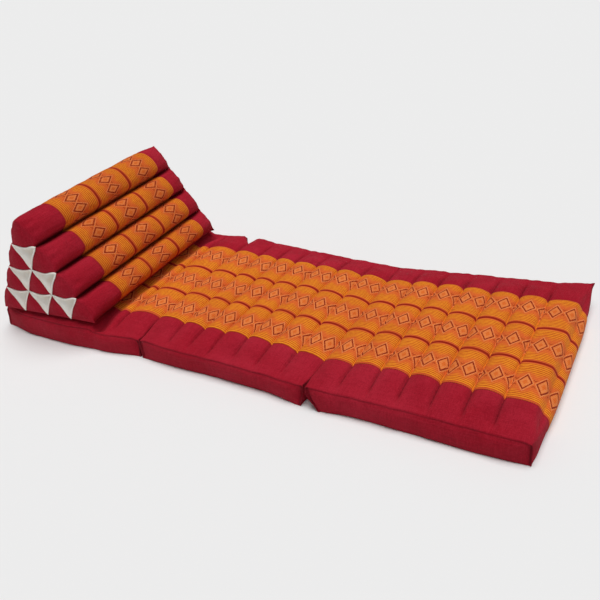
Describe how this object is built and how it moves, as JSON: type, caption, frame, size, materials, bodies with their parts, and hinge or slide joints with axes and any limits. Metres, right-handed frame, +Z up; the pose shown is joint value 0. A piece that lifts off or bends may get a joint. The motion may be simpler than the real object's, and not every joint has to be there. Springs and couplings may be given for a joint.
{
  "type": "thai triangle cushion with a fold-out mat",
  "caption": "Triangle cushion of stuffed tubes standing across a long folding mat of channelled, kapok-filled segments, with a patterned woven panel down the middle.",
  "frame": {"origin": "centre of the whole object's bounding box, on the floor it lies on", "axes": "+X along the mat from the triangle cushion's end to the foot end, +Z up from the floor"},
  "size_m": [2.1458, 0.841, 0.5199],
  "materials": {
    "red_cotton": "plain matte cotton cloth, deep red",
    "woven_band": "matte patterned cotton weave, orange ground with a chain of diamonds between dark red lines",
    "white_cotton": "plain matte cotton cloth, off-white"
  },
  "bodies": {
    "root": {"mat_head": "red_cotton", "mat_middle": "red_cotton", "mat_foot": "red_cotton", "wedge_body": "red_cotton", "strip_low": "red_cotton", "strip_high": "red_cotton", "strip_cushion": "red_cotton", "band_head": "woven_band", "band_middle": "woven_band", "band_foot": "woven_band", "wedge_band": "woven_band", "dimple_near_1": "white_cotton", "dimple_near_2": "white_cotton", "dimple_near_3": "white_cotton", "dimple_near_4": "white_cotton", "dimple_near_5": "white_cotton", "dimple_near_6": "white_cotton", "dimple_far_1": "white_cotton", "dimple_far_2": "white_cotton", "dimple_far_3": "white_cotton", "dimple_far_4": "white_cotton", "dimple_far_5": "white_cotton", "dimple_far_6": "white_cotton"}
  },
  "joints": []
}
